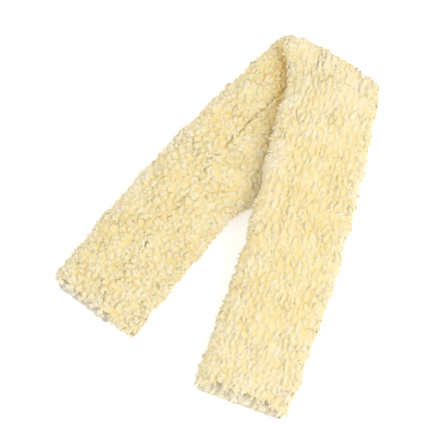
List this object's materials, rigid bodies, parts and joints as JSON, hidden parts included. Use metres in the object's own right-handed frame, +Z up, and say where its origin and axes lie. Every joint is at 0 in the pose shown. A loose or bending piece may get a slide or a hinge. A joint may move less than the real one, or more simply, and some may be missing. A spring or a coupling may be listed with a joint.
{
  "type": "fleece girth sleeve",
  "caption": "Open-ended tube of knit-backed fleece that slides over a saddle girth as padding, shown flattened and folded once into a V.",
  "frame": {"origin": "on the ground, under the middle of the whole folded sleeve's box", "axes": "+Y from the two mouths to the fold, +X from the lower leg to the upper leg, +Z up off the ground"},
  "size_m": [0.3228, 0.423, 0.0504],
  "materials": {
    "fleece_pile": "matte",
    "knit_backing": "matte",
    "thread": "satin"
  },
  "bodies": {
    "lower_leg": {"lower_pile": "fleece_pile", "lower_backing": "knit_backing", "lower_seam_allowance": "knit_backing", "lower_seam_thread": "thread"},
    "fold": {"fold_pile": "fleece_pile", "fold_backing": "knit_backing", "fold_seam_allowance": "knit_backing", "fold_seam_thread": "thread"},
    "lower_end": {"lower_end_pile": "fleece_pile", "lower_end_backing": "knit_backing", "lower_end_seam_allowance": "knit_backing", "lower_end_seam_thread": "thread", "lower_mouth_overlock": "thread"},
    "upper_leg": {"upper_pile": "fleece_pile", "upper_backing": "knit_backing", "upper_seam_allowance": "knit_backing", "upper_seam_thread": "thread"},
    "upper_end": {"upper_end_pile": "fleece_pile", "upper_end_backing": "knit_backing", "upper_end_seam_allowance": "knit_backing", "upper_end_seam_thread": "thread", "upper_mouth_overlock": "thread"}
  },
  "joints": [
    {"name": "fold_lower_roll", "type": "hinge", "parent": "lower_leg", "child": "fold", "pos_m": [-0.00123, 0.19881, 0.0125], "axis": [-1, 0, 0], "range_deg": [0, 90], "deforming": ["fold_pile", "fold_backing", "fold_seam_allowance", "fold_seam_thread"]},
    {"name": "fold_upper_roll", "type": "hinge", "parent": "fold", "child": "upper_leg", "pos_m": [-0.00123, 0.19881, 0.0378], "axis": [-1, 0, 0], "range_deg": [0, 90]},
    {"name": "lower_end_bend", "type": "hinge", "parent": "lower_leg", "child": "lower_end", "pos_m": [-0.06913, -0.01477, 0.025], "axis": [0.972, -0.2351, 0], "range_deg": [-80, 0]},
    {"name": "upper_end_bend", "type": "hinge", "parent": "upper_leg", "child": "upper_end", "pos_m": [0.06666, -0.01477, 0.0503], "axis": [0.972, 0.2351, 0], "range_deg": [-80, 0]}
  ],
  "couplings": [
    {"joint": "fold_upper_roll", "follows": "fold_lower_roll", "ratio": 1}
  ]
}
